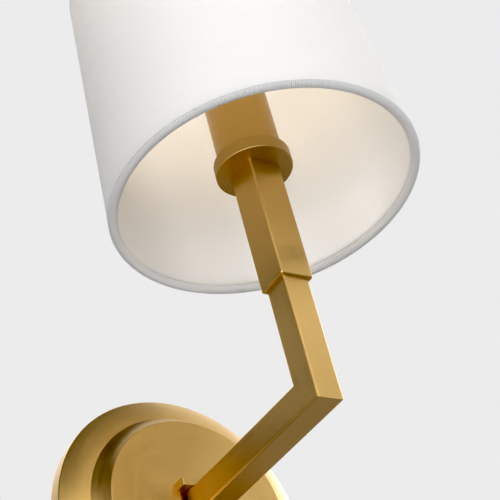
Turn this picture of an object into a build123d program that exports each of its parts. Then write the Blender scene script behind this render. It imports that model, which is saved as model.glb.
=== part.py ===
from build123d import *
import math
import os

os.makedirs("parts", exist_ok=True)

# Wall sconce with one swinging arm. Millimetres. The wall is the plane y = 0 and the lamp reaches
# towards -Y, +X is to the right and +Z is up. The origin is the centre of the mounting strap's
# slots, and the arm's centreline runs through it.

# Backplate, a spun shell
PLATE_R = 67.0
PLATE_RIM = 8.0
CROWN_RISE = 6.0
FOOT_R = 53.6
PLATEAU_RISE = 8.5
PLATEAU_R = 47.2
PLATE_WALL = 1.2
PLATEAU_Y = -(PLATE_RIM + CROWN_RISE + PLATEAU_RISE)

# Arm, sleeve and post
ARM = 14.0
ARM_WALL = 1.4
ARM_EDGE = 1.0
POST_Y = -125.0
SLEEVE = 17.5
SLEEVE_Z = 56.6
PAN_Z = 125.0
POST_TOP_Z = 117.0
PLUG_H = 6.0
GAP = 0.05

# Pivot block, a fork that holds the arm's knuckle
BLOCK = 24.0
BLOCK_PROUD = 7.0
NECK = 20.0
WEB = 4.0
PIVOT_Y = PLATEAU_Y - 3.0
PIVOT_R = 2.0
PIVOT_GAP = 0.06
FORK_GAP = 7.5
KNUCKLE_CLEAR = 0.3
CAVITY_R = 5.6
CAVITY_H = 7.0
BLOCK_Y = PLATEAU_Y - BLOCK_PROUD
SLOT_Y = PIVOT_Y + ARM / 2 + KNUCKLE_CLEAR
NECK_Y = SLOT_Y + WEB
TUBE_Y = BLOCK_Y + 0.8
SCREW_HEAD_R = 2.75
SCREW_HEAD_H = 1.8

# Threaded tube (nipple) size, shared by the block and the lamp stem
PIPE_R = 4.85
PIPE_BORE_R = 3.5
NUT_R = 8.1
NUT_H = 3.2

# Fixing of the block inside the backplate
CUP_R = 18.0
CUP_WALL = 1.5
CUP_Y = NECK_Y + 0.5
WASHER_H = 0.8

# Mounting strap and its screws
STRAP_T = 2.0
STRAP_W = 18.0
STRAP_HALF = 64.4
EAR_DEPTH = 6.7
SLOT_SPACING = 79.4
SLOT_LENGTH = 14.0
SLOT_HALF = 2.2
SIDE_SCREW_Y = -4.2
SIDE_SCREW_R = 1.75
GROUND_X = -24.0
TERMINAL_T = 0.8
TERMINAL_Y = -STRAP_T - TERMINAL_T
BARREL_Y = TERMINAL_Y - 1.1

# Pan, candle cover and socket
PAN_R = 19.0
PAN_T = 7.5
PAN_TOP = PAN_Z + PAN_T
COVER_R = 15.9
COVER_WALL = 0.8
COVER_H = 50.0
COVER_TOP = PAN_TOP + COVER_H
BRACKET_Z = PAN_TOP + NUT_H
BRACKET_T = 1.2
SOCKET_Z = PAN_TOP + 18.0
SOCKET_R = 14.4
SOCKET_TOP = COVER_TOP + 8.0
SOCKET_FLOOR = 5.0
SHELL_R = 13.55
SHELL_BORE = 13.1
STEM_TOP = BRACKET_Z + BRACKET_T + NUT_H + 1.5

# Bulb
BULB_BASE_R = 12.9
BULB_BASE_Z = SOCKET_Z + SOCKET_FLOOR + 5.5
BULB_BASE_H = 25.0
BULB_R = 24.0
BULB_TOP = BULB_BASE_Z + 85.0
GLASS_WALL = 0.8

# Shade
SHADE_Z = 107.8
SHADE_H = 150.0
SHADE_R = 76.3
SHADE_TOP_R = 70.1
FABRIC_T = 0.6
LINER_T = 0.5
HEM_W = 4.8
HEM_H = 5.0
HEM_LIP = 0.8
RING_WIRE_R = 1.2
SPIDER_WIRE_R = 1.1
FITTER_R = 19.0
FITTER_T = 1.6
SPIDER_COUNT = 3
SPIDER_TURN = 50.0

# The shade leans a little on its wires, about the middle of its fitter.
LEAN_ABOUT_X = -1.0
LEAN_ABOUT_Y = -1.45
LEAN_Z = COVER_TOP + FITTER_T / 2
SHADE_SEAT = Pos(0, POST_Y, LEAN_Z) * Rot(LEAN_ABOUT_X, LEAN_ABOUT_Y, 0) * Pos(0, 0, -LEAN_Z)

# Wires
WIRE_R = 1.0
WIRE_X = 3.2
STEM_WIRE_X = 1.3
WIRE_BEND = 3.5
NUT_TIP_Z = 44.0
NUT_MOUTH_Z = 28.0
CONNECTOR_X = {"live": 8.0, "neutral": -8.0, "ground": -20.0}
CONNECTOR_Y = -7.5


def along_y(radius, start_y, end_y, x=0, z=0):
    """A round bar along Y between two planes."""
    bar = Cylinder(radius, abs(end_y - start_y))
    return Pos(x, (start_y + end_y) / 2, z) * Rot(90, 0, 0) * bar


def along_z(radius, low, high, x=0, y=0):
    """A round bar along Z between two heights."""
    return Pos(x, y, (low + high) / 2) * Cylinder(radius, high - low)


def block_between(x_half, low_y, high_y, low_z, high_z):
    """A box that is centred on x = 0 and lies between two y and two z planes."""
    body = Box(2 * x_half, high_y - low_y, high_z - low_z)
    return Pos(0, (low_y + high_y) / 2, (low_z + high_z) / 2) * body


def hex_nut(height):
    """A chamfered hexagon with the pipe's bore, standing on z = 0."""
    hexagon = extrude(RegularPolygon(NUT_R, 6), height)
    cone = Pos(0, 0, height / 2) * Cylinder(NUT_R * 0.97, height)
    return (hexagon & cone) - Pos(0, 0, height / 2) * Cylinder(PIPE_R + GAP, 2 * height)


def turned(points, axis=Axis.Z):
    """A body of revolution from its closed outline."""
    plane = Plane.XZ if axis == Axis.Z else Plane.XY
    return revolve(plane * make_face(Polyline(*points, close=True)), axis)


def wire_along(points, bend):
    """A round wire that follows straight runs joined by tangent arcs."""
    route = FilletPolyline(*points, radius=bend)
    section = Plane(origin=route @ 0, z_dir=route % 0) * Circle(WIRE_R)
    body = sweep(section, path=route)
    return body


# ---- Wall side -------------------------------------------------------------------------------


def mounting_strap():
    """A flat steel bar with two slots, and a tapped ear turned forward at each end."""
    bar = block_between(STRAP_HALF, -STRAP_T, 0, -STRAP_W / 2, STRAP_W / 2)
    strap = bar - along_y(6.5, -5, 5)
    for side in (-1, 1):
        ear_x = side * (STRAP_HALF - STRAP_T / 2)
        ear = Pos(ear_x, -EAR_DEPTH / 2, 0) * Box(STRAP_T, EAR_DEPTH, 14)
        strap += ear
        slot = extrude(Rot(90, 0, 0) * SlotOverall(SLOT_LENGTH, 2 * SLOT_HALF), 10, both=True)
        strap -= Pos(side * SLOT_SPACING / 2, 0, 0) * slot
        strap -= Pos(ear_x, SIDE_SCREW_Y, 0) * Rot(0, 90, 0) * Cylinder(SIDE_SCREW_R + GAP, 6)
    strap -= along_y(PIVOT_R + GAP, -5, 5, x=GROUND_X)
    return strap


def ground_terminal():
    """A flat ring under the ground screw, with a short barrel for the wire."""
    ring = along_y(4.0, TERMINAL_Y, -STRAP_T, x=GROUND_X)
    tail = Pos(GROUND_X, TERMINAL_Y + TERMINAL_T / 2, 5.0) * Box(3.2, TERMINAL_T, 6.0)
    barrel = along_z(1.7, 6.5, 11.0, GROUND_X, BARREL_Y)
    barrel -= along_z(WIRE_R + GAP, 6.0, 11.5, GROUND_X, BARREL_Y)
    return ring + tail + barrel - along_y(PIVOT_R + GAP, -5, 5, x=GROUND_X)


def ground_screw():
    """A hexagon-head screw with a slot, tapped into the strap."""
    head_h = 2.4
    head = Pos(GROUND_X, TERMINAL_Y, 0) * Rot(90, 0, 0) * extrude(RegularPolygon(3.9, 6), head_h)
    slot = Pos(GROUND_X, TERMINAL_Y - head_h, 0) * Box(9, 1.6, 0.9)
    return head - slot + along_y(PIVOT_R, TERMINAL_Y, 0, x=GROUND_X)


def plate_outline(shrink):
    """Half of the backplate's section, radius against y, made smaller by the sheet's thickness."""
    back = 1.0 if shrink else 0.0
    edge_y = -PLATE_RIM + shrink
    foot_y = edge_y - CROWN_RISE
    top_y = PLATEAU_Y + shrink
    edge = (PLATE_R - shrink, edge_y)
    foot = (FOOT_R - shrink, foot_y)
    brink = (PLATEAU_R - shrink, top_y)
    crown_mid = ((edge[0] + foot[0]) / 2 + 0.2, (edge[1] + foot[1]) / 2 - 0.5)
    wall_mid = ((foot[0] + brink[0]) / 2 - 0.5, (foot[1] + brink[1]) / 2 + 0.4)
    lines = Polyline((0, top_y), (0, back), (PLATE_R - shrink, back), edge)
    crown = ThreePointArc(edge, crown_mid, foot)
    wall = ThreePointArc(foot, wall_mid, brink)
    flat = Line(brink, (0, top_y))
    return revolve(make_face(Curve() + lines + crown + wall + flat), Axis.Y)


def backplate():
    """The round cover against the wall: a rim, a sloping ring and a raised flat centre."""
    outside = plate_outline(0.0)
    rings = outside.edges().filter_by(GeomType.CIRCLE)
    edge_ring = rings.filter_by(lambda e: abs(e.center().Y + PLATE_RIM) < 0.1)
    outside = fillet(edge_ring, 0.9)
    outside = fillet(outside.edges().filter_by(lambda e: abs(e.center().Y - PLATEAU_Y) < 0.1), 0.5)
    shell = outside - plate_outline(PLATE_WALL)
    shell -= Pos(0, PLATEAU_Y, 0) * Box(NECK + 2 * GAP, 10, NECK + 2 * GAP)
    cross_hole = Pos(0, SIDE_SCREW_Y, 0) * Rot(0, 90, 0) * Cylinder(SIDE_SCREW_R + 0.2, 3 * PLATE_R)
    return shell - cross_hole


def backplate_screws():
    """Two screws that come in through the rim, at left and right, and hold it to the strap's ears."""
    screws = []
    for side in (-1, 1):
        head = Pos(side * (PLATE_R + 1.0), SIDE_SCREW_Y, 0) * Rot(0, 90, 0) * Cylinder(3.4, 2.0)
        head = fillet(head.edges(), 0.5)
        slot = Pos(side * (PLATE_R + 2.0), SIDE_SCREW_Y, 0) * Box(1.6, 0.9, 9)
        shank_length = 6.5
        shank_x = side * (PLATE_R - shank_length / 2 + 0.1)
        shank = Pos(shank_x, SIDE_SCREW_Y, 0) * Rot(0, 90, 0) * Cylinder(SIDE_SCREW_R, shank_length)
        screws.append(head - slot + shank)
    return Compound(screws)


def pivot_block():
    """The square fork on the backplate: two walls around the knuckle, and a web behind it."""
    half = BLOCK / 2
    head = block_between(half, BLOCK_Y, PLATEAU_Y - GAP, -half, half)
    front = head.edges().group_by(Axis.Y)[0]
    head = fillet(head.edges().filter_by(Axis.Y) + front, 0.7)
    block = head + block_between(NECK / 2, PLATEAU_Y - 1, NECK_Y, -NECK / 2, NECK / 2)
    block -= block_between(BLOCK, BLOCK_Y - 1, SLOT_Y, -FORK_GAP, FORK_GAP)
    block -= along_y(PIPE_BORE_R, SLOT_Y - 1, NECK_Y + 1)
    block -= along_y(PIPE_R + GAP, SLOT_Y + 1.2, NECK_Y + 1)
    block -= along_z(PIVOT_R + GAP, -BLOCK, BLOCK, 0, PIVOT_Y)
    block -= along_z(SCREW_HEAD_R + GAP, half - SCREW_HEAD_H - 0.2, BLOCK, 0, PIVOT_Y)
    return block


def pivot_screw():
    """The slotted screw that the arm turns on, sunk flush in the block's top."""
    head_low = BLOCK / 2 - SCREW_HEAD_H - 0.2
    head = along_z(SCREW_HEAD_R, head_low, BLOCK / 2 - 0.2, 0, PIVOT_Y)
    slot = Pos(0, PIVOT_Y, BLOCK / 2 - 0.2) * Box(7, 0.9, 1.6)
    return head - slot + along_z(PIVOT_R, -BLOCK / 2 + 0.4, head_low, 0, PIVOT_Y)


def friction_washers():
    """Two thin washers, one above and one below the knuckle."""
    washers = []
    for side in (-1, 1):
        low = min(side * (ARM / 2 + 0.04), side * (FORK_GAP - 0.01))
        high = max(side * (ARM / 2 + 0.04), side * (FORK_GAP - 0.01))
        disc = along_z(6.0, low, high, 0, PIVOT_Y)
        washers.append(disc - along_z(PIVOT_R + GAP, low - 1, high + 1, 0, PIVOT_Y))
    return Compound(washers)


def block_nipple():
    """The short threaded tube in the block's back, which carries the wires and the nut."""
    end_y = CUP_Y + CUP_WALL + WASHER_H + NUT_H + 1.3
    tube = along_y(PIPE_R, SLOT_Y + 1.25, end_y)
    return tube - along_y(PIPE_BORE_R, SLOT_Y, end_y + 1)


def clamp_cup():
    """A drawn steel cup around the block's neck, pressed on the inside of the backplate."""
    rim_y = PLATEAU_Y + PLATE_WALL + GAP
    cup = along_y(CUP_R, rim_y, CUP_Y + CUP_WALL)
    cup -= along_y(CUP_R - CUP_WALL, rim_y - 1, CUP_Y)
    return cup - along_y(PIPE_R + 0.3, CUP_Y - 1, CUP_Y + CUP_WALL + 1)


def block_lock_washer():
    """A split spring washer under the nut."""
    start_y = CUP_Y + CUP_WALL + 0.02
    washer = along_y(8.2, start_y, start_y + WASHER_H - 0.04)
    washer -= along_y(PIPE_R + GAP, start_y - 1, start_y + 2)
    return washer - Pos(0, start_y, 6.6) * Rot(0, 25, 0) * Box(1.0, 6, 6)


def block_nut():
    """The hexagon nut that pulls the block and the cup together."""
    return Pos(0, CUP_Y + CUP_WALL + WASHER_H + NUT_H, 0) * Rot(90, 0, 0) * hex_nut(NUT_H)


def wall_lead(name):
    """A lead from the back of the knuckle, through the nipple and up to its connector."""
    side = 1 if name == "live" else -1
    turn_y = -4.9
    x_end = CONNECTOR_X[name]
    points = [
        (side * STEM_WIRE_X, SLOT_Y + 0.2, 0),
        (side * STEM_WIRE_X, turn_y, 0),
        (x_end, turn_y, 15),
        (x_end, CONNECTOR_Y, 24),
        (x_end, CONNECTOR_Y, NUT_MOUTH_Z + 6),
    ]
    return wire_along(points, WIRE_BEND)


def ground_lead():
    """The lead from the ground terminal's barrel up to its connector."""
    x_end = CONNECTOR_X["ground"]
    points = [
        (GROUND_X, BARREL_Y, 7.0),
        (GROUND_X, BARREL_Y, 14.0),
        (x_end, CONNECTOR_Y, 23.0),
        (x_end, CONNECTOR_Y, NUT_MOUTH_Z + 6),
    ]
    return wire_along(points, WIRE_BEND)


def wire_connectors():
    """Three twist-on connectors over the ends of the leads."""
    connectors = []
    for x_end in CONNECTOR_X.values():
        outline = [(0, NUT_MOUTH_Z), (4.9, NUT_MOUTH_Z), (4.6, NUT_MOUTH_Z + 6), (3.0, NUT_TIP_Z), (0, NUT_TIP_Z)]
        cone = turned(outline)
        hole = along_z(WIRE_R + GAP, NUT_MOUTH_Z - 1, NUT_MOUTH_Z + 6.1)
        wings = Pos(0, 0, NUT_MOUTH_Z + 3.5) * Box(11.0, 1.6, 6.0)
        connectors.append(Pos(x_end, CONNECTOR_Y, 0) * (cone + wings - hole))
    return Compound(connectors)


# ---- Arm side --------------------------------------------------------------------------------


def arm_tube():
    """The square tube: out from the block, a mitred elbow, and up inside the sleeve."""
    half = ARM / 2
    bore = half - ARM_WALL
    level = block_between(half, POST_Y - half, TUBE_Y, -half, half)
    upright = block_between(half, POST_Y - half, POST_Y + half, -half, POST_TOP_Z)
    outside = level + upright
    faces_x = outside.faces().filter_by(Axis.X)
    long_edges = [e for f in faces_x for e in f.edges() if max(e.center().Y - TUBE_Y, e.center().Z - POST_TOP_Z) < -0.1]
    outside = fillet(long_edges, ARM_EDGE)
    level_bore = block_between(bore, POST_Y - bore, TUBE_Y + 1, -bore, bore)
    upright_bore = block_between(bore, POST_Y - bore, POST_Y + bore, -bore, POST_TOP_Z + 1)
    return outside - (level_bore + upright_bore)


def arm_knuckle():
    """The bored end of the arm: a rounded lug, hollow for the wires, and a plug in the tube."""
    half = ARM / 2
    plug_half = half - ARM_WALL - GAP
    behind_tube = block_between(ARM, TUBE_Y + 0.02, PIVOT_Y + ARM, -ARM, ARM)
    lug = along_z(half, -half, half, 0, PIVOT_Y) & behind_tube
    lug += block_between(half, TUBE_Y + 0.02, PIVOT_Y, -half, half)
    plug = block_between(plug_half, TUBE_Y - 11, TUBE_Y + 1, -plug_half, plug_half)
    knuckle = lug + plug
    low = -CAVITY_H / 2
    high = CAVITY_H / 2
    knuckle -= along_z(CAVITY_R, low, high, 0, PIVOT_Y)
    knuckle -= block_between(half + 1, PIVOT_Y + 2.2, PIVOT_Y + half + 1, low, high)
    knuckle -= block_between(4.4, TUBE_Y - 12, PIVOT_Y, low, high)
    return knuckle - along_z(PIVOT_R + PIVOT_GAP, -ARM, ARM, 0, PIVOT_Y)


def post_sleeve():
    """The wider square sleeve around the post, from its step up to the pan."""
    half = SLEEVE / 2
    bore = ARM / 2 + GAP
    sleeve = block_between(half, POST_Y - half, POST_Y + half, SLEEVE_Z, PAN_Z - 0.02)
    sleeve = fillet(sleeve.edges().filter_by(Axis.Z) + sleeve.edges().group_by(Axis.Z)[0], 1.0)
    return sleeve - block_between(bore, POST_Y - bore, POST_Y + bore, SLEEVE_Z - 1, PAN_Z + 1)


def sleeve_plug():
    """A tapped square plug in the sleeve's top, which the lamp stem screws into."""
    half = ARM / 2 - 0.02
    plug = block_between(half, POST_Y - half, POST_Y + half, PAN_Z - PLUG_H, PAN_Z - 0.1)
    return plug - along_z(PIPE_R + GAP, 0, PAN_Z + 1, 0, POST_Y)


def candle_pan():
    """The thick round disc between the sleeve and the candle cover."""
    pan = fillet(Cylinder(PAN_R, PAN_T).edges(), 0.7)
    return Pos(0, POST_Y, PAN_Z + PAN_T / 2) * (pan - Cylinder(PIPE_R + 0.1, 2 * PAN_T))


def lamp_stem():
    """The threaded tube from the plug, through the pan, to the socket's bracket."""
    stem = along_z(PIPE_R, PAN_Z - PLUG_H + 0.2, STEM_TOP, 0, POST_Y)
    return stem - along_z(PIPE_BORE_R, PAN_Z - PLUG_H, STEM_TOP + 1, 0, POST_Y)


def stem_nuts():
    """Two hexagon nuts on the stem: one holds the pan, one holds the bracket."""
    nuts = []
    for z in (PAN_TOP + 0.02, BRACKET_Z + BRACKET_T + 0.02):
        nuts.append(Pos(0, POST_Y, z) * hex_nut(NUT_H - 0.04))
    return Compound(nuts)


def socket_bracket():
    """A bent strip: a base on the stem, two uprights, and two tabs under the socket."""
    base_half = 11.5
    base = Pos(0, POST_Y, BRACKET_Z + BRACKET_T / 2) * Box(2 * base_half, 14, BRACKET_T)
    bracket = base - along_z(PIPE_R + GAP, BRACKET_Z - 1, BRACKET_Z + 3, 0, POST_Y)
    rise = SOCKET_Z - 0.02 - BRACKET_Z
    for side in (-1, 1):
        upright_x = side * (base_half - BRACKET_T / 2)
        bracket += Pos(upright_x, POST_Y, BRACKET_Z + rise / 2) * Box(BRACKET_T, 9, rise)
        tab_x = side * (base_half - 2.75)
        tab = Pos(tab_x, POST_Y, BRACKET_Z + rise - BRACKET_T / 2) * Box(5.5, 9, BRACKET_T)
        bracket += tab - along_z(1.3 + GAP, 0, SOCKET_TOP, side * 8.0, POST_Y)
    return bracket


def socket_screws():
    """Two small screws up through the bracket's tabs into the socket's base."""
    screws = []
    for side in (-1, 1):
        tab_low = SOCKET_Z - 0.02 - BRACKET_T
        head = along_z(2.2, tab_low - 1.5, tab_low - 0.01, side * 8.0, POST_Y)
        slot = Pos(side * 8.0, POST_Y, tab_low - 1.5) * Box(5, 0.7, 1.2)
        screws.append(head - slot + along_z(1.3, tab_low - 0.5, SOCKET_Z + 3.5, side * 8.0, POST_Y))
    return Compound(screws)


def socket_body():
    """The moulded socket, with a thread around its top for the shade's ring."""
    body = along_z(SOCKET_R, SOCKET_Z, SOCKET_TOP, 0, POST_Y)
    for step in range(3):
        groove_z = SOCKET_TOP - 1.6 - 1.8 * step
        groove = along_z(SOCKET_R + 1, groove_z - 0.4, groove_z + 0.4, 0, POST_Y)
        body -= groove - along_z(SOCKET_R - 0.4, 0, SOCKET_TOP, 0, POST_Y)
    body -= along_z(SHELL_R + GAP, SOCKET_Z + SOCKET_FLOOR, SOCKET_TOP + 1, 0, POST_Y)
    for side in (-1, 1):
        body -= along_z(1.3 + GAP, SOCKET_Z - 1, SOCKET_Z + 3.7, side * 8.0, POST_Y)
        body -= along_z(WIRE_R + GAP, SOCKET_Z - 1, SOCKET_Z + 3.5, 0, POST_Y + side * 8.0)
    return body


def socket_shell():
    """The brass screw shell inside the socket, rolled with a round thread."""
    low = SOCKET_Z + SOCKET_FLOOR + 1.0
    shell = along_z(SHELL_R, low, SOCKET_TOP - 1, 0, POST_Y)
    return shell - along_z(SHELL_BORE, low - 1, SOCKET_TOP, 0, POST_Y)


def socket_contact():
    """The sprung centre contact: a foot on the socket's floor and a raised tongue."""
    floor = SOCKET_Z + SOCKET_FLOOR + 0.02
    foot = Pos(4.0, POST_Y, floor + 0.2) * Box(5.0, 4.0, 0.4)
    riser = Pos(6.3, POST_Y, floor + 1.6) * Box(0.4, 4.0, 3.2)
    tongue = Pos(2.5, POST_Y, floor + 3.0) * Box(8.0, 4.0, 0.4)
    return foot + riser + tongue


def candle_cover():
    """The brass tube that hides the socket."""
    low = PAN_TOP + 0.02
    cover = along_z(COVER_R, low, COVER_TOP, 0, POST_Y)
    return cover - along_z(COVER_R - COVER_WALL, low - 1, COVER_TOP + 1, 0, POST_Y)


def shade_ring():
    """The knurled ring that screws down on the socket and holds the shade's fitter."""
    low = COVER_TOP + FITTER_T + 0.1
    high = SOCKET_TOP - 0.6
    ring = along_z(18.0, low, high, 0, POST_Y)
    ring -= along_z(SOCKET_R + GAP, low - 1, high + 1, 0, POST_Y)
    for i in range(24):
        spot = Rot(0, 0, i * 15) * Pos(18.2, 0, (low + high) / 2)
        ring -= Pos(0, POST_Y, 0) * spot * Cylinder(0.7, 20)
    return ring


def arm_wire(side):
    """One conductor from the knuckle, past the pivot, along the arm and up to the socket."""
    x_arm = side * WIRE_X
    x_stem = side * STEM_WIRE_X
    y_end = POST_Y + side * 8.0
    points = [
        (x_arm, PIVOT_Y + 3.4, 0),
        (x_arm, POST_Y, 0),
        (x_arm, POST_Y, 98),
        (x_stem, POST_Y, 112),
        (x_stem, POST_Y, STEM_TOP + 1.5),
        (0, y_end, SOCKET_Z - 3.4),
        (0, y_end, SOCKET_Z + 3.3),
    ]
    return wire_along(points, 2.2)


# ---- Bulb ------------------------------------------------------------------------------------


def bulb_outline(shrink):
    """The glass of the bulb as a body of revolution, made smaller by the glass's thickness."""
    neck_z = BULB_BASE_Z + BULB_BASE_H - 3.0
    neck_r = 12.0 - shrink
    centre_z = BULB_TOP - BULB_R
    top = (0, BULB_TOP - shrink)
    side = (BULB_R - shrink, centre_z)
    shoulder = (BULB_R * math.sin(math.radians(45)) - shrink * 0.7, centre_z + BULB_R * 0.7071 - shrink * 0.7)
    crown = ThreePointArc(top, shoulder, side)
    flank = Spline(side, (18.0 - shrink, centre_z - 20.0), (neck_r, neck_z + 3.0), tangents=((0, -1), (0, -1)))
    rest = Polyline((neck_r, neck_z + 3.0), (neck_r, neck_z), (0, neck_z), top)
    body = revolve(Plane.XZ * make_face(Curve() + crown + flank + rest), Axis.Z)
    return Pos(0, POST_Y, 0) * body


def bulb_glass():
    """The bulb's thin envelope, open at the neck."""
    neck_z = BULB_BASE_Z + BULB_BASE_H - 3.0
    inner = bulb_outline(GLASS_WALL)
    return bulb_outline(0.0) - inner - along_z(12.0 - GLASS_WALL, neck_z - 1, neck_z + 2, 0, POST_Y)


def bulb_base():
    """The bulb's screw base, a thin brass cup that tapers at its foot."""
    low = BULB_BASE_Z
    high = low + BULB_BASE_H
    outline = [(8.0, low), (BULB_BASE_R, low + 3.5), (BULB_BASE_R, high), (BULB_BASE_R - 0.7, high)]
    outline += [(BULB_BASE_R - 0.7, low + 3.9), (8.0, low + 0.8)]
    return Pos(0, POST_Y, 0) * turned(outline)


def bulb_insulator():
    """The glass insulator between the base and its centre contact."""
    low = BULB_BASE_Z - 1.6
    outline = [(3.6, low), (7.9, BULB_BASE_Z), (7.9, BULB_BASE_Z + 1.2), (3.6, BULB_BASE_Z + 1.2)]
    return Pos(0, POST_Y, 0) * turned(outline)


def bulb_contact():
    """The centre contact under the bulb."""
    low = SOCKET_Z + SOCKET_FLOOR + 3.25
    return along_z(3.5, low, BULB_BASE_Z + 1.0, 0, POST_Y)


def bulb_mount():
    """The glass stem inside the bulb, standing on a flare in the neck."""
    flare_z = BULB_BASE_Z + BULB_BASE_H - 3.0
    outline = [(0, flare_z), (11.1, flare_z), (11.1, flare_z + 1.2), (3.2, flare_z + 7.0), (2.2, flare_z + 30.0)]
    outline += [(0, flare_z + 30.0)]
    return Pos(0, POST_Y, 0) * turned(outline)


def bulb_filament():
    """Four straight light filaments that stand around the glass stem."""
    low = BULB_BASE_Z + BULB_BASE_H + 8.0
    strips = []
    for i in range(4):
        strip = Pos(6.5, 0, low + 15) * Cylinder(0.8, 30)
        leg = Pos(4.85, 0, low + 0.5) * Box(3.3, 0.6, 0.6)
        strips.append(Pos(0, POST_Y, 0) * Rot(0, 0, 45 + 90 * i) * (strip + leg))
    return Compound(strips)


# ---- Shade -----------------------------------------------------------------------------------


def shade_radius(z):
    """The shade's outer radius at a height."""
    return SHADE_R + (SHADE_TOP_R - SHADE_R) * (z - SHADE_Z) / SHADE_H


def cone_shell(outer_inset, thickness, low, high):
    """A thin shell that follows the shade's slope, at a distance inside its outer face."""
    outline = [
        (shade_radius(low) - outer_inset, low),
        (shade_radius(high) - outer_inset, high),
        (shade_radius(high) - outer_inset - thickness, high),
        (shade_radius(low) - outer_inset - thickness, low),
    ]
    return SHADE_SEAT * turned(outline)


def shade_fabric():
    """The shade's outer cloth, a tapered drum open at both ends."""
    return cone_shell(0, FABRIC_T, SHADE_Z + HEM_LIP, SHADE_Z + SHADE_H - HEM_LIP)


def shade_liner():
    """The stiff translucent backing inside the cloth."""
    return cone_shell(FABRIC_T + 0.02, LINER_T, SHADE_Z + HEM_LIP, SHADE_Z + SHADE_H - HEM_LIP)


def hem_ring(edge_z, inward):
    """The rolled cloth hem around one wire ring: a lip under the edge and a band inside it."""
    lip_z = edge_z + inward * (HEM_LIP - 0.02)
    band_z = edge_z + inward * HEM_H
    inset = FABRIC_T + LINER_T + 0.04
    edge_r = shade_radius(edge_z)
    outline = [
        (edge_r, edge_z),
        (shade_radius(lip_z), lip_z),
        (shade_radius(lip_z) - inset, lip_z),
        (shade_radius(band_z) - inset, band_z),
        (edge_r - HEM_W, band_z),
        (edge_r - HEM_W, edge_z),
    ]
    hem = turned(outline)
    hollow = ring_wire(edge_z, inward, RING_WIRE_R + GAP, centred=True)
    return SHADE_SEAT * (hem - hollow)


def ring_wire(edge_z, inward, radius, centred=False):
    """A round wire ring in the middle of the hem."""
    centre = (shade_radius(edge_z) - (HEM_W + FABRIC_T + LINER_T) / 2, 0, edge_z + inward * 2.6)
    section = Plane(origin=centre, x_dir=(1, 0, 0), z_dir=(0, -1, 0)) * Circle(radius)
    ring = revolve(section, Axis.Z)
    return ring if centred else SHADE_SEAT * ring


def spider_arms():
    """Three bent wires from the fitter up to the top ring."""
    start_z = COVER_TOP + FITTER_T / 2
    end_r = shade_radius(SHADE_Z + SHADE_H) - HEM_W - SPIDER_WIRE_R - GAP
    end_z = SHADE_Z + SHADE_H - 4.0
    arms = []
    for i in range(SPIDER_COUNT):
        points = [(FITTER_R + 0.1, 0, start_z + 0.3), (30, 0, start_z + 0.3), (end_r, 0, end_z - 22), (end_r, 0, end_z)]
        route = FilletPolyline(*points, radius=6)
        section = Plane(origin=route @ 0, z_dir=route % 0) * Circle(SPIDER_WIRE_R)
        arms.append(SHADE_SEAT * Rot(0, 0, SPIDER_TURN + i * 360 / SPIDER_COUNT) * sweep(section, path=route))
    return Compound(arms)


def fitter_ring():
    """The flat ring that sits on the candle cover and carries the shade's wires."""
    low = COVER_TOP + 0.02
    ring = along_z(FITTER_R, low, COVER_TOP + FITTER_T, 0, POST_Y)
    return ring - along_z(SOCKET_R + 0.3, low - 1, COVER_TOP + 3, 0, POST_Y)


NODES = {
    "mounting_strap": mounting_strap,
    "ground_terminal": ground_terminal,
    "ground_screw": ground_screw,
    "backplate": backplate,
    "backplate_screws": backplate_screws,
    "pivot_block": pivot_block,
    "pivot_screw": pivot_screw,
    "friction_washers": friction_washers,
    "block_nipple": block_nipple,
    "clamp_cup": clamp_cup,
    "block_lock_washer": block_lock_washer,
    "block_nut": block_nut,
    "live_wall_lead": lambda: wall_lead("live"),
    "neutral_wall_lead": lambda: wall_lead("neutral"),
    "ground_lead": ground_lead,
    "wire_connectors": wire_connectors,
    "arm_tube": arm_tube,
    "arm_knuckle": arm_knuckle,
    "post_sleeve": post_sleeve,
    "sleeve_plug": sleeve_plug,
    "candle_pan": candle_pan,
    "lamp_stem": lamp_stem,
    "stem_nuts": stem_nuts,
    "socket_bracket": socket_bracket,
    "socket_screws": socket_screws,
    "socket_body": socket_body,
    "socket_shell": socket_shell,
    "socket_contact": socket_contact,
    "candle_cover": candle_cover,
    "shade_ring": shade_ring,
    "live_arm_wire": lambda: arm_wire(1),
    "neutral_arm_wire": lambda: arm_wire(-1),
    "bulb_glass": bulb_glass,
    "bulb_base": bulb_base,
    "bulb_insulator": bulb_insulator,
    "bulb_contact": bulb_contact,
    "bulb_mount": bulb_mount,
    "bulb_filament": bulb_filament,
    "shade_fabric": shade_fabric,
    "shade_liner": shade_liner,
    "shade_bottom_hem": lambda: hem_ring(SHADE_Z, 1),
    "shade_top_hem": lambda: hem_ring(SHADE_Z + SHADE_H, -1),
    "shade_bottom_ring": lambda: ring_wire(SHADE_Z, 1, RING_WIRE_R),
    "shade_top_ring": lambda: ring_wire(SHADE_Z + SHADE_H, -1, RING_WIRE_R),
    "spider_arms": spider_arms,
    "fitter_ring": fitter_ring,
}

for node_name, make_node in NODES.items():
    export_step(make_node(), f"parts/{node_name}.step")
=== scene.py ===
import math

import bmesh
import bpy
from mathutils import Euler, Matrix, Vector


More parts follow.
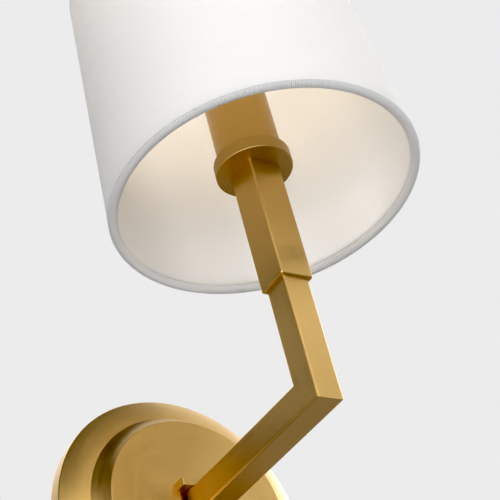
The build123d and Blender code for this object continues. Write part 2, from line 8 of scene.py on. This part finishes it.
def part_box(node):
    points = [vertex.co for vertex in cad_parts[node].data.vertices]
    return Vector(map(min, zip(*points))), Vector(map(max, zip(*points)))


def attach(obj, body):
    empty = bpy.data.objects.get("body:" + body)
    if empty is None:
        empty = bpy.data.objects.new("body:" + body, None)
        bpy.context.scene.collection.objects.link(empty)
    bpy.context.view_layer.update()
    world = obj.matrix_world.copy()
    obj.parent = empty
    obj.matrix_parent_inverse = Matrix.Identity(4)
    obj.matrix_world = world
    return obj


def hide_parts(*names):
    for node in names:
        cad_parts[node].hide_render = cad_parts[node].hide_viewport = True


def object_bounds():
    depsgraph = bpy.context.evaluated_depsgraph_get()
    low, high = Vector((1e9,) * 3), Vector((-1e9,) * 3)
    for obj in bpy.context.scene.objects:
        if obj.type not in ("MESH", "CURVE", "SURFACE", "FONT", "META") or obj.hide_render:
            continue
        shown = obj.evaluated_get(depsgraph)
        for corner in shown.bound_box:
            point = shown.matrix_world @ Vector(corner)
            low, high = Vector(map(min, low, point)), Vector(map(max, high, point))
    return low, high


# Looks of the wall sconce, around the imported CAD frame. Metres, in the frame's own axes: the wall is
# y = 0, the lamp reaches towards -Y and Z is up.

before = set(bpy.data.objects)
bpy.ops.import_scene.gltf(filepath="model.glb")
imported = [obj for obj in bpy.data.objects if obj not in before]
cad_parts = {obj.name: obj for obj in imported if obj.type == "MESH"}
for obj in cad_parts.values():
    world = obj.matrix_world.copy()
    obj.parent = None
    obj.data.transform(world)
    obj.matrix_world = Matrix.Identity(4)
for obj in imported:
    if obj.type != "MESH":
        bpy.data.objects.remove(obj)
cad_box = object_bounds()
scene = bpy.context.scene

MM = 0.001

# ---- Places read from the frame --------------------------------------------------------------

bulb_low, bulb_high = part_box("bulb_glass")
fitter_low, fitter_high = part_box("fitter_ring")
AXIS_X = (bulb_low.x + bulb_high.x) / 2
AXIS_Y = (bulb_low.y + bulb_high.y) / 2
BULB_Z = bulb_high.z - (bulb_high.x - bulb_low.x) / 2

# The shade's sizes are the part's own. It leans a little about the middle of its fitter: its cloth is
# built upright round the Z axis, and the seat then leans it and moves it onto the lamp's axis.
SEAT_Z = (fitter_low.z + fitter_high.z) / 2
FOOT_Z = 107.8 * MM
HEAD_Z = 257.8 * MM
FOOT_R = 76.3 * MM
HEAD_R = 70.1 * MM
LEAN = Euler((math.radians(-1.0), math.radians(-1.45), 0.0)).to_matrix().to_4x4()
SEAT = Matrix.Translation((AXIS_X, AXIS_Y, SEAT_Z)) @ LEAN @ Matrix.Translation((0, 0, -SEAT_Z))

# ---- Node helpers ----------------------------------------------------------------------------


class Tree:
    """A material's nodes, with short calls to add and join them."""

    def __init__(self, name):
        self.material = bpy.data.materials.new(name)
        self.material.use_nodes = True
        self.nodes = self.material.node_tree.nodes
        self.links = self.material.node_tree.links
        self.shader = self.nodes["Principled BSDF"]
        self.output = self.nodes["Material Output"]

    def add(self, kind, **settings):
        node = self.nodes.new(kind)
        for key, value in settings.items():
            setattr(node, key, value)
        return node

    def join(self, source, target):
        self.links.new(source, target)

    def put(self, socket, value):
        """Links a socket, or sets a plain value, on the target socket."""
        if hasattr(value, "is_output"):
            self.links.new(value, socket)
        else:
            socket.default_value = value

    def set(self, **values):
        for key, value in values.items():
            self.put(self.shader.inputs[key.replace("_", " ")], value)

    def place(self):
        return self.add("ShaderNodeTexCoord").outputs["Object"]

    def maths(self, operation, a, b=None, c=None):
        node = self.add("ShaderNodeMath", operation=operation)
        for socket, value in zip(node.inputs, (a, b, c)):
            if value is not None:
                self.put(socket, value)
        return node.outputs[0]

    def vector(self, operation, a, b=None):
        node = self.add("ShaderNodeVectorMath", operation=operation)
        self.put(node.inputs[0], a)
        if b is not None:
            self.put(node.inputs[1], b)
        return node.outputs["Value"] if operation in ("LENGTH", "DOT_PRODUCT") else node.outputs[0]

    def split(self, vector):
        node = self.add("ShaderNodeSeparateXYZ")
        self.join(vector, node.inputs[0])
        return node.outputs

    def combine(self, x, y, z):
        node = self.add("ShaderNodeCombineXYZ")
        for socket, value in zip(node.inputs, (x, y, z)):
            self.put(socket, value)
        return node.outputs[0]

    def noise(self, vector, scale=1.0, detail=3.0, roughness=0.5):
        node = self.add("ShaderNodeTexNoise")
        self.join(vector, node.inputs["Vector"])
        node.inputs["Scale"].default_value = scale
        node.inputs["Detail"].default_value = detail
        node.inputs["Roughness"].default_value = roughness
        return node.outputs["Fac"]

    def ramp(self, value, low, high, low_out=0.0, high_out=1.0):
        node = self.add("ShaderNodeMapRange")
        for socket, number in zip(node.inputs, (value, low, high, low_out, high_out)):
            self.put(socket, number)
        return node.outputs[0]

    def mix(self, share, a, b):
        node = self.add("ShaderNodeMix", data_type="RGBA")
        self.put(node.inputs[0], share)
        self.put(node.inputs[6], a)
        self.put(node.inputs[7], b)
        return node.outputs[2]

    def bump(self, height, strength, distance, under=None):
        node = self.add("ShaderNodeBump")
        node.inputs["Strength"].default_value = strength
        node.inputs["Distance"].default_value = distance
        self.join(height, node.inputs["Height"])
        if under is not None:
            self.join(under, node.inputs["Normal"])
        return node.outputs[0]


def rgb(red, green, blue):
    return (red, green, blue, 1.0)


# ---- Metals ----------------------------------------------------------------------------------

BRASS = rgb(0.57, 0.378, 0.14)
BRASS_DEEP = rgb(0.47, 0.295, 0.095)
BRASS_PALE = rgb(0.67, 0.475, 0.21)
# Painted shade: the even darker brass laid over brass parts that stand in shade.
BRASS_IN_PAINTED_SHADE = rgb(0.24, 0.14, 0.045)
LINE_FINE = 1 / (0.22 * MM)
LINE_WIDE = 1 / (1.1 * MM)
LINE_RUN = 1 / (38 * MM)
RING_RUN = 2.6


def stretch_straight(tree, place, run):
    """Coordinates in which noise makes lines along one straight axis, given as a unit triple."""
    return {
        scale: tree.vector("MULTIPLY", place, tuple(LINE_RUN if axis else scale for axis in run))
        for scale in (LINE_FINE, LINE_WIDE)
    }


def stretch_round(tree, place, centre, axis):
    """Coordinates in which noise makes rings about an axis through the given point."""
    local = tree.split(tree.vector("SUBTRACT", place, tuple(centre)))
    along = local[axis]
    first, second = [local[i] for i in range(3) if i != axis]
    radius = tree.vector("LENGTH", tree.combine(first, second, 0.0))
    turn = tree.maths("ARCTAN2", first, second)
    return {
        scale: tree.combine(
            tree.maths("MULTIPLY", radius, scale),
            tree.maths("MULTIPLY", along, scale),
            tree.maths("MULTIPLY", tree.maths("ABSOLUTE", turn), RING_RUN),
        )
        for scale in (LINE_FINE, LINE_WIDE)
    }


def satin_brass(name, stretched, roughness=0.42, coat=0.2, painted_shade=0.0):
    """Lacquered brass, brushed in fine lines and a little deeper in slow patches. A given share of painted
    shade darkens it evenly all over.
    """
    tree = Tree(name)
    place = tree.place()
    lines = stretched(tree, place)
    fine = tree.noise(lines[LINE_FINE], detail=2.0)
    wide = tree.noise(lines[LINE_WIDE], detail=3.0)
    patches = tree.noise(place, scale=26.0, detail=2.0)
    smudges = tree.noise(place, scale=95.0, detail=4.0, roughness=0.6)
    tone = tree.mix(tree.ramp(patches, 0.3, 0.7, 0.70, 1.0), BRASS_DEEP, BRASS)
    tone = tree.mix(tree.ramp(fine, 0.45, 0.8, 0.0, 0.22), tone, BRASS_PALE)
    tone = tree.mix(tree.ramp(wide, 0.2, 0.5, 0.20, 0.0), tone, BRASS_DEEP)
    # Painted shade: a darker brass mixed in evenly by the given share.
    tone = tree.mix(painted_shade, tone, BRASS_IN_PAINTED_SHADE)
    rough = tree.ramp(wide, 0.25, 0.75, roughness - 0.04, roughness + 0.05)
    rough = tree.maths("ADD", rough, tree.ramp(smudges, 0.35, 0.75, -0.015, 0.04))
    grooves = tree.bump(fine, 0.08, 0.04 * MM)
    grooves = tree.bump(wide, 0.08, 0.08 * MM, grooves)
    tree.set(Base_Color=tone, Metallic=1.0, Roughness=rough, Normal=grooves)
    tree.set(Coat_Weight=coat, Coat_Roughness=0.36, Coat_IOR=1.5)
    return tree.material


def mitred_lines(tree, place):
    """Lines that follow the arm outwards and turn up the post at the mitre."""
    level = stretch_straight(tree, place, (0, 1, 0))
    upright = stretch_straight(tree, place, (0, 0, 1))
    parts = tree.split(place)
    above = tree.maths("GREATER_THAN", parts[2], tree.maths("ADD", parts[1], -AXIS_Y))
    chosen = {}
    for scale in (LINE_FINE, LINE_WIDE):
        node = tree.add("ShaderNodeMix", data_type="VECTOR")
        tree.join(above, node.inputs[0])
        tree.join(level[scale], node.inputs[4])
        tree.join(upright[scale], node.inputs[5])
        chosen[scale] = node.outputs[1]
    return chosen


def plain_metal(name, colour, roughness, grain=300.0):
    """A stamped or plated metal with faint mottling."""
    tree = Tree(name)
    place = tree.place()
    mottle = tree.noise(place, scale=grain, detail=4.0)
    darker = tuple(c * 0.72 for c in colour[:3]) + (1.0,)
    tone = tree.mix(tree.ramp(mottle, 0.35, 0.65), darker, colour)
    rough = tree.ramp(mottle, 0.3, 0.7, roughness - 0.06, roughness + 0.08)
    tree.set(Base_Color=tone, Metallic=1.0, Roughness=rough)
    tree.set(Normal=tree.bump(mottle, 0.08, 0.1 * MM))
    return tree.material


def moulded(name, colour, roughness, metallic=0.0, grain=900.0):
    """A moulded, painted or enamelled surface with a fine orange-peel texture."""
    tree = Tree(name)
    place = tree.place()
    peel = tree.noise(place, scale=grain, detail=2.0)
    cloud = tree.noise(place, scale=60.0, detail=2.0)
    darker = tuple(c * 0.82 for c in colour[:3]) + (1.0,)
    tone = tree.mix(tree.ramp(cloud, 0.35, 0.65), darker, colour)
    rough = tree.ramp(peel, 0.3, 0.7, roughness - 0.05, roughness + 0.06)
    tree.set(Base_Color=tone, Metallic=metallic, Roughness=rough)
    tree.set(Normal=tree.bump(peel, 0.15, 0.05 * MM))
    return tree.material


# ---- Cloth, liner and glass ------------------------------------------------------------------

THREAD = 0.45 * MM
YARN = 1.1 * MM
SLUB_RUN = 1 / (25 * MM)
WARP_SEED = 5.0
RIB = 0.85 * MM
LINEN = rgb(0.91, 0.91, 0.91)
LINEN_SHADOW = rgb(0.82, 0.81, 0.80)
LINEN_SLUB = rgb(0.86, 0.85, 0.835)
# Painted shade: the grey laid over the hems' rolls.
HEM_PAINTED_SHADE = rgb(0.47, 0.467, 0.47)
CLOTH_LETS_THROUGH = 0.52
LINER_LETS_THROUGH = 0.48
HEM_LETS_THROUGH = 0.10


def translucent_over(tree, colour, share):
    """Mixes light that comes through the sheet into the surface's own shader."""
    through = tree.add("ShaderNodeBsdfTranslucent")
    tree.put(through.inputs["Color"], colour)
    mixer = tree.add("ShaderNodeMixShader")
    mixer.inputs[0].default_value = share
    tree.join(tree.shader.outputs[0], mixer.inputs[1])
    tree.join(through.outputs[0], mixer.inputs[2])
    tree.join(mixer.outputs[0], tree.output.inputs["Surface"])


def stripes(tree, at):
    """Rounded ridges, 0 to 1, one for every half turn of a phase in radians."""
    return tree.maths("ABSOLUTE", tree.maths("SINE", at))


def weave_of(tree, along, up, shift):
    """Plain weave: warp and weft threads take turns on top."""
    warp_at = tree.maths("ADD", tree.maths("MULTIPLY", along, 1 / THREAD), shift)
    weft_at = tree.maths("ADD", tree.maths("MULTIPLY", up, 1 / THREAD), shift)
    crossing = tree.maths("ADD", tree.maths("FLOOR", warp_at), tree.maths("FLOOR", weft_at))
    over = tree.add("ShaderNodeMix", data_type="FLOAT")
    tree.join(tree.maths("FLOORED_MODULO", crossing, 2.0), over.inputs[0])
    tree.join(stripes(tree, tree.maths("MULTIPLY", warp_at, math.pi)), over.inputs[2])
    tree.join(stripes(tree, tree.maths("MULTIPLY", weft_at, math.pi)), over.inputs[3])
    return over.outputs[0]


def slubs_of(tree, along, up):
    """Thick places in the yarns, long along the weft and fainter along the warp."""
    weft_run = tree.maths("MULTIPLY", along, SLUB_RUN)
    weft_place = tree.combine(weft_run, tree.maths("MULTIPLY", up, 1 / YARN), 0.0)
    warp_run = tree.maths("MULTIPLY", up, SLUB_RUN)
    warp_place = tree.combine(tree.maths("MULTIPLY", along, 1 / YARN), warp_run, WARP_SEED)
    warp_slubs = tree.maths("MULTIPLY", tree.noise(warp_place, detail=2.0), 0.85)
    return tree.maths("MAXIMUM", tree.noise(weft_place, detail=2.0), warp_slubs)


def ribbed_hem_with_shade(tree, along, up, shift, tone, normal, width):
    """A hem's narrow tape, puckered in ribs. Its grey is painted shade, rising across the roll's width and
    deepest in the grooves between the ribs.
    """
    rib = stripes(tree, tree.maths("ADD", tree.maths("MULTIPLY", along, math.pi / RIB), shift))
    normal = tree.bump(rib, 0.9, 0.40 * MM, normal)
    ragged = tree.maths("ADD", up, tree.ramp(rib, 0.0, 1.0, -0.25 * MM, 0.25 * MM))
    # Painted shade: grey across the roll, deepest in the rib grooves.
    roll_shade_mask = tree.ramp(ragged, 2.0 * MM, width - 1.5 * MM)
    hem_shade_share = tree.maths("MULTIPLY", roll_shade_mask, tree.ramp(rib, 0.0, 0.8, 1.0, 0.70))
    return tree.mix(hem_shade_share, tone, HEM_PAINTED_SHADE), normal


def linen(name, share, hem_width=None):
    """Plain-woven linen, from its cut's own coordinates in metres, that lets a share of light through."""
    tree = Tree(name)
    cut = tree.add("ShaderNodeUVMap", uv_map="cut").outputs[0]
    along, up, _ = tree.split(cut)
    shift = tree.ramp(tree.noise(cut, scale=60.0, detail=2.0), 0.0, 1.0, -1.5, 1.5)
    weave = weave_of(tree, along, up, shift)
    slubs = slubs_of(tree, along, up)
    rows = stripes(tree, tree.maths("ADD", tree.maths("MULTIPLY", up, math.pi / YARN), shift))
    tone = tree.mix(tree.ramp(weave, 0.0, 0.8), LINEN_SHADOW, LINEN)
    tone = tree.mix(tree.ramp(rows, 0.0, 0.7, 0.45, 0.0), tone, LINEN_SHADOW)
    tone = tree.mix(tree.ramp(slubs, 0.48, 0.72, 0.0, 0.7), tone, LINEN_SLUB)
    normal = tree.bump(weave, 0.20, 0.10 * MM)
    normal = tree.bump(slubs, 0.20, 0.20 * MM, normal)
    # A hem's tape gets its ribs and its painted shade.
    if hem_width is not None:
        tone, normal = ribbed_hem_with_shade(tree, along, up, shift, tone, normal, hem_width)
    tree.set(Base_Color=tone, Roughness=0.92, Normal=normal)
    tree.set(Sheen_Weight=0.2, Sheen_Roughness=0.4, Specular_IOR_Level=0.2)
    translucent_over(tree, tone, share)
    return tree.material


def liner(name):
    """The stiff translucent backing: smooth, with the cloth's weave faintly showing."""
    tree = Tree(name)
    place = tree.place()
    print_through = tree.noise(place, scale=1 / (0.9 * MM), detail=3.0)
    cloud = tree.noise(place, scale=22.0, detail=2.0)
    tone = tree.mix(tree.ramp(cloud, 0.3, 0.7), rgb(0.925, 0.92, 0.912), rgb(0.945, 0.94, 0.932))
    tone = tree.mix(tree.ramp(print_through, 0.4, 0.8, 0.0, 0.12), tone, rgb(0.88, 0.86, 0.83))
    tree.set(Base_Color=tone, Roughness=0.62, Specular_IOR_Level=0.3)
    tree.set(Normal=tree.bump(print_through, 0.06, 0.1 * MM))
    translucent_over(tree, tone, LINER_LETS_THROUGH)
    return tree.material


def frosted_glass(name):
    """Lit bulb glass, etched white inside."""
    tree = Tree(name)
    grain = tree.noise(tree.place(), scale=1400.0, detail=3.0)
    tone = tree.mix(grain, rgb(0.97, 0.93, 0.86), rgb(1.0, 0.98, 0.93))
    tree.set(Base_Color=tone, Roughness=tree.ramp(grain, 0.3, 0.7, 0.42, 0.55))
    tree.set(Transmission_Weight=0.6, IOR=1.5)
    tree.set(Emission_Color=rgb(1.0, 0.83, 0.62), Emission_Strength=1.35)
    return tree.material


def clear_glass(name, tint):
    """Clear glass with faint streaks."""
    tree = Tree(name)
    streak = tree.noise(tree.place(), scale=120.0, detail=2.0)
    tree.set(Base_Color=tint, Roughness=tree.ramp(streak, 0.3, 0.7, 0.02, 0.08))
    tree.set(Transmission_Weight=1.0, IOR=1.5)
    return tree.material


# ---- Materials on the CAD nodes --------------------------------------------------------------


def give(material, *names):
    """Puts a material on CAD nodes, through the object's own slots."""
    for name in names:
        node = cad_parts[name]
        for slot in node.material_slots:
            slot.link = "OBJECT"
            slot.material = material


def centre_of(name):
    low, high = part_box(name)
    return (low + high) / 2


def up_lines(tree, place):
    return stretch_straight(tree, place, (0, 0, 1))


def out_lines(tree, place):
    return stretch_straight(tree, place, (0, 1, 0))


def ring_lines(name, axis):
    """Rings about a node's own middle, round one of the frame's axes."""
    centre = centre_of(name)

    def rings(tree, place):
        return stretch_round(tree, place, centre, axis)

    return rings


give(satin_brass("brass_backplate", ring_lines("backplate", 1)), "backplate")
give(satin_brass("brass_arm", mitred_lines), "arm_tube")
give(satin_brass("brass_sleeve", up_lines), "post_sleeve", "sleeve_plug")
give(satin_brass("brass_block", out_lines), "pivot_block", "arm_knuckle")
# The pan, the cover and the shade ring carry painted shade: their brass is darkened evenly, since they
# stand within the lampshade's shade.
give(satin_brass("brass_pan", ring_lines("candle_pan", 2), roughness=0.50, painted_shade=0.35), "candle_pan")
give(satin_brass("brass_cover", ring_lines("candle_cover", 2), painted_shade=0.25), "candle_cover", "shade_ring")
give(satin_brass("brass_screws", out_lines, roughness=0.24), "pivot_screw", "backplate_screws")

zinc = plain_metal("zinc", rgb(0.66, 0.67, 0.68), 0.34)
give(zinc, "mounting_strap", "clamp_cup", "block_lock_washer", "block_nut")
zinc_small = plain_metal("zinc_small", rgb(0.70, 0.70, 0.70), 0.30, 700.0)
give(zinc_small, "block_nipple", "lamp_stem", "stem_nuts")
tinned = plain_metal("tinned", rgb(0.74, 0.73, 0.70), 0.28, 700.0)
give(tinned, "socket_bracket", "socket_screws", "ground_terminal")
give(plain_metal("bare_brass", rgb(0.74, 0.52, 0.22), 0.26, 500.0), "socket_shell", "socket_contact")
give(plain_metal("bronze", rgb(0.55, 0.33, 0.15), 0.35, 500.0), "friction_washers")
give(plain_metal("bulb_metal", rgb(0.80, 0.80, 0.79), 0.30, 500.0), "bulb_base", "bulb_contact")

give(moulded("green_plate", rgb(0.06, 0.33, 0.12), 0.35, 0.6), "ground_screw")
give(moulded("insulation_black", rgb(0.025, 0.025, 0.027), 0.45), "live_wall_lead", "live_arm_wire")
give(moulded("insulation_white", rgb(0.78, 0.78, 0.75), 0.45), "neutral_wall_lead", "neutral_arm_wire")
give(moulded("insulation_green", rgb(0.05, 0.30, 0.10), 0.45), "ground_lead")
give(moulded("connector_orange", rgb(0.78, 0.28, 0.05), 0.42), "wire_connectors")
give(moulded("thermoset", rgb(0.045, 0.04, 0.04), 0.38), "socket_body")
white_enamel = moulded("white_enamel", rgb(0.80, 0.80, 0.79), 0.30)
give(white_enamel, "spider_arms", "fitter_ring", "shade_top_ring", "shade_bottom_ring")
give(moulded("filament", rgb(0.85, 0.60, 0.15), 0.5), "bulb_filament")
give(moulded("dark_glass", rgb(0.03, 0.03, 0.045), 0.12), "bulb_insulator")

give(clear_glass("stem_glass", rgb(0.95, 0.98, 0.97)), "bulb_mount")
give(frosted_glass("bulb_frost"), "bulb_glass")
give(liner("shade_styrene"), "shade_liner")

# ---- Shade cloth, with its rolled hems -------------------------------------------------------

CLOTH_T = 0.55 * MM
ROLL_R = 2.4 * MM
TAIL = 1.5 * MM
TAIL_LIFT = 0.1 * MM
TUCKED_AT = math.radians(66)
TURN_UNDER = math.radians(12)
AROUND = 480
TAIL_STEPS = 3
ROLL_STEPS = 28
EDGE_STEPS = 4
DRUM_STEPS = 40


def radius_at(z):
    return FOOT_R + (HEAD_R - FOOT_R) * (z - FOOT_Z) / (HEAD_Z - FOOT_Z)


def roll_profile(edge_z, inward):
    """One hem's line from its raw edge on the liner, over and round the wire, to the outer face."""
    edge_r = radius_at(edge_z)
    middle_r = edge_r - ROLL_R
    middle_z = edge_z + inward * ROLL_R
    points = []
    start_r = middle_r + ROLL_R * math.cos(TUCKED_AT)
    start_z = middle_z + inward * ROLL_R * math.sin(TUCKED_AT)
    for step in range(TAIL_STEPS, 0, -1):
        r = start_r + TAIL_LIFT * step / TAIL_STEPS
        z = start_z + inward * TAIL * step / TAIL_STEPS
        points.append((r, z))
    last = 2 * math.pi - TURN_UNDER
    for step in range(ROLL_STEPS + 1):
        angle = TUCKED_AT + (last - TUCKED_AT) * step / ROLL_STEPS
        points.append((middle_r + ROLL_R * math.cos(angle), middle_z + inward * ROLL_R * math.sin(angle)))
    return points


def drum_profile():
    """The outer cloth's line, with its two edges turned a little way under."""
    low = FOOT_Z + ROLL_R
    high = HEAD_Z - ROLL_R
    points = []
    for step in range(EDGE_STEPS, 0, -1):
        angle = TURN_UNDER * step / EDGE_STEPS
        points.append((radius_at(low) - ROLL_R * (1 - math.cos(angle)), low - ROLL_R * math.sin(angle)))
    for step in range(DRUM_STEPS + 1):
        z = low + (high - low) * step / DRUM_STEPS
        points.append((radius_at(z), z))
    for step in range(1, EDGE_STEPS + 1):
        angle = TURN_UNDER * step / EDGE_STEPS
        points.append((radius_at(high) - ROLL_R * (1 - math.cos(angle)), high + ROLL_R * math.sin(angle)))
    return points


def run_of(profile):
    """Distances along a profile from its start."""
    lengths = [0.0]
    for (r0, z0), (r1, z1) in zip(profile, profile[1:]):
        lengths.append(lengths[-1] + math.hypot(r1 - r0, z1 - z0))
    return lengths


def turn_cloth(name, profile):
    """A ring of cloth with real thickness from a profile, with its cut's coordinates in metres."""
    lengths = run_of(profile)
    form = bmesh.new()
    cut = form.loops.layers.uv.new("cut")
    columns = []
    for i in range(AROUND):
        turn = 2 * math.pi * i / AROUND
        column = []
        for r, z in profile:
            upright = Vector((r * math.sin(turn), r * math.cos(turn), z))
            column.append(form.verts.new(SEAT @ upright))
        columns.append(column)
    for i in range(AROUND):
        here = columns[i]
        after = columns[(i + 1) % AROUND]
        for j in range(len(profile) - 1):
            face = form.faces.new((here[j], after[j], after[j + 1], here[j + 1]))
            face.smooth = True
            corners = ((i, j), (i + 1, j), (i + 1, j + 1), (i, j + 1))
            for loop, (column, row) in zip(face.loops, corners):
                loop[cut].uv = (2 * math.pi * FOOT_R * column / AROUND, lengths[row])
    mesh = bpy.data.meshes.new(name)
    form.to_mesh(mesh)
    form.free()
    piece = bpy.data.objects.new(name, mesh)
    scene.collection.objects.link(piece)
    solid = piece.modifiers.new("thickness", "SOLIDIFY")
    solid.thickness = CLOTH_T
    solid.offset = 1.0
    return piece


cloth = turn_cloth("shade_cloth", drum_profile())
foot_roll = roll_profile(FOOT_Z, 1)
head_roll = roll_profile(HEAD_Z, -1)[::-1]
foot_hem = turn_cloth("shade_foot_hem", foot_roll)
head_hem = turn_cloth("shade_head_hem", head_roll)
cloth.data.materials.append(linen("linen_cloth", CLOTH_LETS_THROUGH))
hem_linen = linen("linen_hem", HEM_LETS_THROUGH, hem_width=run_of(foot_roll)[-1])
for hem in (foot_hem, head_hem):
    hem.data.materials.append(hem_linen)
for piece, node in ((cloth, "shade_fabric"), (foot_hem, "shade_bottom_hem"), (head_hem, "shade_top_hem")):
    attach(piece, "arm")
    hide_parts(node)

# ---- Lamp light and studio light --------------------------------------------------------------

lamp = bpy.data.lights.new("lamp_glow", "POINT")
lamp.energy = 0.029
lamp.color = (1.0, 0.92, 0.81)
lamp.shadow_soft_size = 20 * MM
lamp_object = bpy.data.objects.new("lamp_glow", lamp)
lamp_object.location = (AXIS_X, AXIS_Y, BULB_Z)
scene.collection.objects.link(lamp_object)
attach(lamp_object, "arm")
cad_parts["bulb_glass"].visible_shadow = False

TARGET = Vector((AXIS_X, AXIS_Y, 0.09))
LIGHT_REACH = 2.2


def way_to(turn, rise):
    """The direction from the lamp to a place: turn in radians from the front to the right, rise upwards."""
    level = math.cos(rise)
    return Vector((math.sin(turn) * level, -math.cos(turn) * level, math.sin(rise)))


def soft_light(name, turn, rise, size, energy):
    """A square white panel that faces the lamp, with its angles in degrees and its side in metres."""
    data = bpy.data.lights.new(name, "AREA")
    data.shape = "SQUARE"
    data.size = size
    data.energy = energy
    panel = bpy.data.objects.new(name, data)
    panel.location = TARGET + LIGHT_REACH * way_to(math.radians(turn), math.radians(rise))
    panel.rotation_euler = (TARGET - panel.location).to_track_quat("-Z", "Y").to_euler()
    scene.collection.objects.link(panel)


for name, turn, rise, size, energy in (
    ("low_left", -45, -40, 2.2, 37),
    ("front_left", -45, 0, 2.2, 24),
    ("low_side", -90, -40, 2.2, 24),
    ("left", -90, 0, 2.2, 8),
    ("front", 0, 0, 2.2, 38),
    ("side_behind", 110, 20, 1.2, 17),
    ("low_behind", 135, -40, 2.2, 6),
    ("behind_right", 135, 40, 2.2, 13),
    ("behind", 180, 40, 2.2, 26),
    ("key", 30, 45, 1.0, 12),
    ("key_side", 70, 20, 1.0, 4),
    ("right", 90, 0, 2.2, 28),
    ("right_high", 90, 40, 2.2, 14),
):
    soft_light(name, turn, rise, size, energy)

# ---- Backdrop and floor ------------------------------------------------------------------------

# The picture's blacks are set a little deep, which makes the brass richer where it is dark. The
# backdrop is that much paler, to look the same.
BLACK_POINT = 0.035
BACKDROP = 0.838 * (1 - BLACK_POINT) + BLACK_POINT
FILL = 0.02

world = bpy.data.worlds.new("studio")
scene.world = world
world.use_nodes = True
sky = world.node_tree
sky.nodes.clear()
seen = sky.nodes.new("ShaderNodeBackground")
seen.inputs[0].default_value = rgb(BACKDROP, BACKDROP, BACKDROP)
lit = sky.nodes.new("ShaderNodeBackground")
lit.inputs[0].default_value = rgb(FILL, FILL, FILL)
path = sky.nodes.new("ShaderNodeLightPath")
chooser = sky.nodes.new("ShaderNodeMixShader")
end = sky.nodes.new("ShaderNodeOutputWorld")
sky.links.new(path.outputs["Is Camera Ray"], chooser.inputs[0])
sky.links.new(lit.outputs[0], chooser.inputs[1])
sky.links.new(seen.outputs[0], chooser.inputs[2])
sky.links.new(chooser.outputs[0], end.inputs["Surface"])


def pale_floor():
    """A floor as pale as the backdrop, seen only from above, because the lamp is looked at from below."""
    tree = Tree("pale_floor")
    speckle = tree.noise(tree.place(), scale=900.0, detail=2.0)
    tree.set(Base_Color=rgb(0.02, 0.02, 0.02), Roughness=1.0, Specular_IOR_Level=0.0)
    tree.set(Emission_Color=rgb(BACKDROP, BACKDROP, BACKDROP))
    tree.set(Emission_Strength=tree.ramp(speckle, 0.0, 1.0, 0.985, 1.0))
    under = tree.add("ShaderNodeNewGeometry").outputs["Backfacing"]
    unseen = tree.add("ShaderNodeBsdfTransparent")
    one_sided = tree.add("ShaderNodeMixShader")
    tree.join(under, one_sided.inputs[0])
    tree.join(tree.shader.outputs[0], one_sided.inputs[1])
    tree.join(unseen.outputs[0], one_sided.inputs[2])
    tree.join(one_sided.outputs[0], tree.output.inputs["Surface"])
    return tree.material


FLOOR_DROP = 0.55
FLOOR_REACH = 4.0
FLOOR_Z = cad_box[0].z - FLOOR_DROP
floor_mesh = bpy.data.meshes.new("floor")
floor_corners = [
    (side_x * FLOOR_REACH, side_y * FLOOR_REACH, FLOOR_Z)
    for side_x, side_y in ((-1, -1), (1, -1), (1, 1), (-1, 1))
]
floor_mesh.from_pydata(floor_corners, [], [(0, 1, 2, 3)])
floor_mesh.materials.append(pale_floor())
floor = bpy.data.objects.new("floor", floor_mesh)
scene.collection.objects.link(floor)
floor.visible_glossy = False
floor.visible_diffuse = False
floor.visible_transmission = False
floor.visible_shadow = False

# ---- Camera ------------------------------------------------------------------------------------

CAMERA_AT = Vector((-0.32398, -0.48708, -0.26735))
AZIMUTH = math.radians(-40.393)
ELEVATION = math.radians(-35.681)
ROLL = math.radians(-15.186)

camera_data = bpy.data.cameras.new("camera")
camera_data.lens = 93.2
camera_data.sensor_width = 36.0
camera_data.clip_start = 0.01
camera = bpy.data.objects.new("camera", camera_data)
back = way_to(AZIMUTH, ELEVATION)
right = (-back).cross(Vector((0, 0, 1))).normalized()
upward = right.cross(-back)
turned_right = math.cos(ROLL) * right + math.sin(ROLL) * upward
turned_up = -math.sin(ROLL) * right + math.cos(ROLL) * upward
axes = Matrix((turned_right, turned_up, back)).transposed().to_4x4()
camera.matrix_world = Matrix.Translation(CAMERA_AT) @ axes
scene.collection.objects.link(camera)
scene.camera = camera
scene.view_settings.view_transform = "Standard"
scene.view_settings.use_curve_mapping = True
scene.view_settings.curve_mapping.black_level = (BLACK_POINT, BLACK_POINT, BLACK_POINT)
